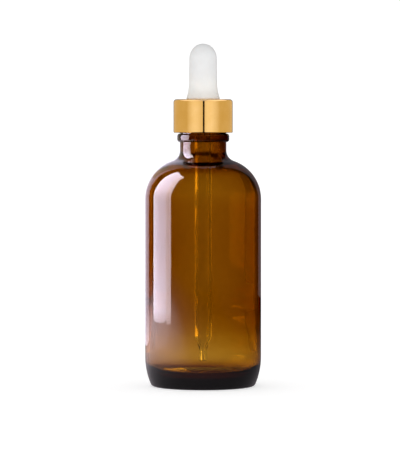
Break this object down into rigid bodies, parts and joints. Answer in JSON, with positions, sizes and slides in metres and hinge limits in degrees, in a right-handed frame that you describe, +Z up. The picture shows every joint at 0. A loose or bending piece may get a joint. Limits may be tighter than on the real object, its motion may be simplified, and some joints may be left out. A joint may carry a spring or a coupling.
{
  "type": "dropper bottle",
  "caption": "Round amber glass bottle with a gold screw closure that carries a rubber bulb and a glass pipette for measuring drops.",
  "frame": {"origin": "middle of the ring that the bottle stands on", "axes": "+Z up along the axis of the bottle, the closure and the bulb; +X and +Y are alike, apart from the start of the thread at +X"},
  "size_m": [0.0484, 0.0484, 0.1429],
  "materials": {
    "amber_glass": "polished amber glass",
    "clear_glass": "clear tube glass",
    "gold_metal": "bright gold anodised, lightly brushed",
    "closure_plastic": "white moulded plastic",
    "bulb_rubber": "soft white rubber, satin",
    "seal_foam": "matt foamed plastic"
  },
  "bodies": {
    "bottle": {"bottle": "amber_glass"},
    "seal": {"seal_washer": "seal_foam"},
    "pipette": {"pipette": "clear_glass"},
    "closure": {"closure": "closure_plastic", "shell": "gold_metal"},
    "bulb": {"bulb": "bulb_rubber"}
  },
  "joints": [
    {"name": "dropper_lift", "type": "slide", "parent": "bottle", "child": "seal", "axis": [0, 0, 1], "range_m": [0, 0.115]},
    {"name": "closure_rise", "type": "slide", "parent": "seal", "child": "pipette", "axis": [0, 0, 1], "range_m": [0, 0.00397]},
    {"name": "closure_turn", "type": "hinge", "parent": "pipette", "child": "closure", "pos_m": [0, 0, 0.11], "axis": [0, 0, 1], "range_deg": [0, 450]},
    {"name": "bulb_squeeze", "type": "slide", "parent": "pipette", "child": "bulb", "axis": [1, 0, 0], "range_m": [0, 0.0018], "stiffness_N_per_m": 1500, "deforming": ["bulb"]}
  ],
  "couplings": [
    {"joint": "closure_rise", "follows": "closure_turn", "m_per_rad": 0.00050532}
  ]
}
